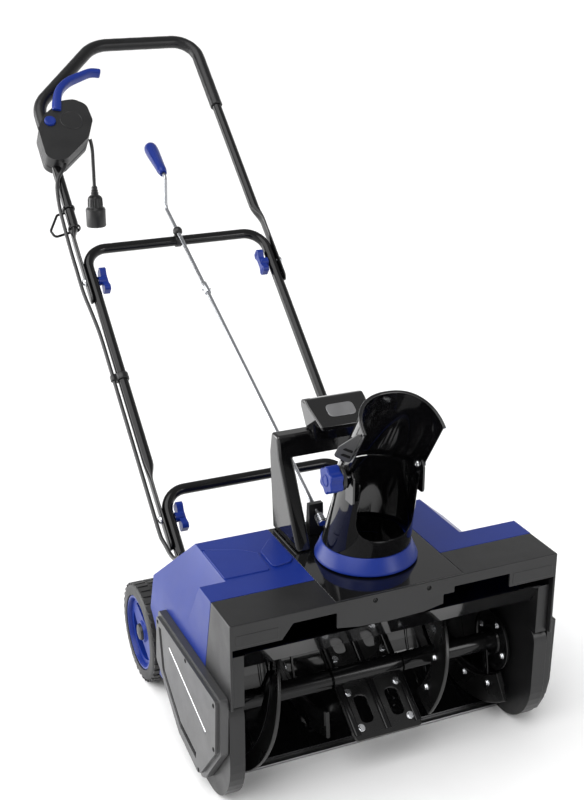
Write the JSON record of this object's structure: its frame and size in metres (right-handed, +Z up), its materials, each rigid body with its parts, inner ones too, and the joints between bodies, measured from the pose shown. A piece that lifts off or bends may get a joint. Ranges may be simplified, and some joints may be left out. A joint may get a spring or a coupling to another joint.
{
  "type": "snow blower",
  "caption": "Electric walk-behind snow thrower with a rubber-bladed auger, crank-turned chute with tilting hood, two wheels and a folding tube handle.",
  "frame": {"origin": "centre of the bounding box's base, on the ground, measured without the hanging inlet lead and plug", "axes": "+Y runs back from the intake towards the operator, +X to the right seen from the front, +Z up"},
  "size_m": [0.599, 1.4652, 1.0058],
  "materials": {
    "blue_plastic": "satin moulded plastic",
    "black_plastic": "fine moulded texture",
    "gloss_black": "polished",
    "tube_paint": "semi-gloss powder coat",
    "foam": "foam sleeve",
    "auger_rubber": "moulded rubber",
    "tyre": "treaded",
    "cable_jacket": "cable jacket",
    "zinc": "bright zinc plate",
    "steel": "plain steel"
  },
  "bodies": {
    "chassis": {"front_band": "black_plastic", "blue_housing": "blue_plastic", "center_panel": "gloss_black", "auger_housing": "gloss_black", "left_side_plate": "black_plastic", "right_side_plate": "black_plastic", "bearing_left": "steel", "bearing_right": "steel", "belt_cover": "black_plastic", "right_end_cover": "black_plastic", "scraper_bar": "steel", "base_pan": "black_plastic", "motor": "steel", "drive_belt": "auger_rubber", "axle_frame": "tube_paint", "carry_handle": "black_plastic", "handle_badge_block": "black_plastic", "rod_bracket": "black_plastic", "lower_frame": "tube_paint", "lower_bolt_left": "zinc", "lower_bolt_right": "zinc", "supply_cable_lower": "cable_jacket"},
    "motor_rotor": {"motor_pulley": "steel"},
    "auger": {"auger_shaft": "steel", "auger_pulley": "steel", "auger_paddle": "black_plastic", "auger_flight_left": "auger_rubber", "auger_flight_right": "auger_rubber"},
    "wheel_left": {"tyre_left": "tyre", "wheel_hub_left": "blue_plastic"},
    "wheel_right": {"tyre_right": "tyre", "wheel_hub_right": "blue_plastic"},
    "chute": {"chute_collar": "blue_plastic", "chute_tube": "gloss_black", "hood_bolt": "zinc", "hood_rivet": "zinc"},
    "hood": {"deflector_hood": "gloss_black"},
    "hood_knob": {"hood_knob": "blue_plastic"},
    "crank_lower": {"crank_rod_lower": "zinc"},
    "crank_upper": {"crank_rod_upper": "zinc"},
    "crank_grip": {"crank_grip": "blue_plastic"},
    "middle_frame": {"middle_frame": "tube_paint", "rod_guide": "black_plastic", "upper_bolt_left": "zinc", "upper_bolt_right": "zinc", "supply_cable_middle": "cable_jacket"},
    "upper_handle": {"upper_handle": "tube_paint", "grip_sleeve": "foam", "switch_box_rear": "black_plastic", "switch_box_front": "black_plastic", "cord_hook": "tube_paint", "supply_cable_upper": "cable_jacket", "inlet_lead": "cable_jacket", "inlet_plug": "black_plastic"},
    "bail_lever": {"bail_lever": "blue_plastic"},
    "safety_button": {"safety_button": "blue_plastic"},
    "lower_knob_left": {"lower_knob_left": "blue_plastic"},
    "lower_knob_right": {"lower_knob_right": "blue_plastic"},
    "upper_knob_left": {"upper_knob_left": "blue_plastic"},
    "upper_knob_right": {"upper_knob_right": "blue_plastic"}
  },
  "joints": [
    {"name": "auger_spin", "type": "hinge", "parent": "chassis", "child": "auger", "pos_m": [0.0005, -0.60632, 0.13], "axis": [1, 0, 0], "continuous": true},
    {"name": "motor_spin", "type": "hinge", "parent": "chassis", "child": "motor_rotor", "pos_m": [-0.2795, -0.44332, 0.17], "axis": [1, 0, 0], "continuous": true},
    {"name": "wheel_left_spin", "type": "hinge", "parent": "chassis", "child": "wheel_left", "pos_m": [-0.2595, -0.27732, 0.09], "axis": [1, 0, 0], "continuous": true},
    {"name": "wheel_right_spin", "type": "hinge", "parent": "chassis", "child": "wheel_right", "pos_m": [0.2605, -0.27732, 0.09], "axis": [1, 0, 0], "continuous": true},
    {"name": "chute_turn", "type": "hinge", "parent": "chassis", "child": "chute", "pos_m": [0.0005, -0.60032, 0.35], "axis": [0, 0, 1], "range_deg": [-90, 90]},
    {"name": "crank_lower_spin", "type": "hinge", "parent": "chassis", "child": "crank_lower", "pos_m": [-0.0445, -0.52832, 0.378], "axis": [0.0589, 0.9445, 0.3232], "range_deg": [-720, 720]},
    {"name": "crank_upper_spin", "type": "hinge", "parent": "middle_frame", "child": "crank_upper", "pos_m": [0.0069, 0.29654, 0.66027], "axis": [0.0589, 0.9445, 0.3232], "range_deg": [-720, 720]},
    {"name": "crank_grip_spin", "type": "hinge", "parent": "crank_upper", "child": "crank_grip", "pos_m": [0.01367, 0.3854, 0.75515], "axis": [0.0589, 0.9445, 0.3232], "continuous": true},
    {"name": "hood_tilt", "type": "hinge", "parent": "chute", "child": "hood", "pos_m": [0.0005, -0.65332, 0.512], "axis": [1, 0, 0], "range_deg": [0, 50]},
    {"name": "hood_knob_turn", "type": "hinge", "parent": "chute", "child": "hood_knob", "pos_m": [-0.0845, -0.65332, 0.512], "axis": [1, 0, 0], "range_deg": [0, 360]},
    {"name": "middle_fold", "type": "hinge", "parent": "chassis", "child": "middle_frame", "pos_m": [0.0005, -0.16978, 0.24679], "axis": [1, 0, 0], "range_deg": [0, 75]},
    {"name": "upper_fold", "type": "hinge", "parent": "middle_frame", "child": "upper_handle", "pos_m": [0.0005, 0.23929, 0.59004], "axis": [1, 0, 0], "range_deg": [-100, 0]},
    {"name": "bail_squeeze", "type": "hinge", "parent": "upper_handle", "child": "bail_lever", "pos_m": [-0.1695, 0.54431, 0.87993], "axis": [0, -0.6428, 0.766], "range_deg": [0, 8], "stiffness_Nm_per_rad": 0.6},
    {"name": "button_press", "type": "slide", "parent": "upper_handle", "child": "safety_button", "axis": [0, 0.6428, -0.766], "range_m": [0, 0.004], "stiffness_N_per_m": 300},
    {"name": "lower_knob_left_turn", "type": "hinge", "parent": "chassis", "child": "lower_knob_left", "pos_m": [-0.1645, -0.16978, 0.24679], "axis": [1, 0, 0], "range_deg": [0, 360]},
    {"name": "lower_knob_right_turn", "type": "hinge", "parent": "chassis", "child": "lower_knob_right", "pos_m": [0.1655, -0.16978, 0.24679], "axis": [1, 0, 0], "range_deg": [0, 360]},
    {"name": "upper_knob_left_turn", "type": "hinge", "parent": "middle_frame", "child": "upper_knob_left", "pos_m": [-0.1735, 0.23929, 0.59004], "axis": [1, 0, 0], "range_deg": [0, 360]},
    {"name": "upper_knob_right_turn", "type": "hinge", "parent": "middle_frame", "child": "upper_knob_right", "pos_m": [0.1745, 0.23929, 0.59004], "axis": [1, 0, 0], "range_deg": [0, 360]}
  ],
  "couplings": [
    {"joint": "motor_spin", "follows": "auger_spin", "ratio": 4.5833},
    {"joint": "crank_lower_spin", "follows": "chute_turn", "ratio": 8},
    {"joint": "crank_upper_spin", "follows": "chute_turn", "ratio": 8}
  ]
}
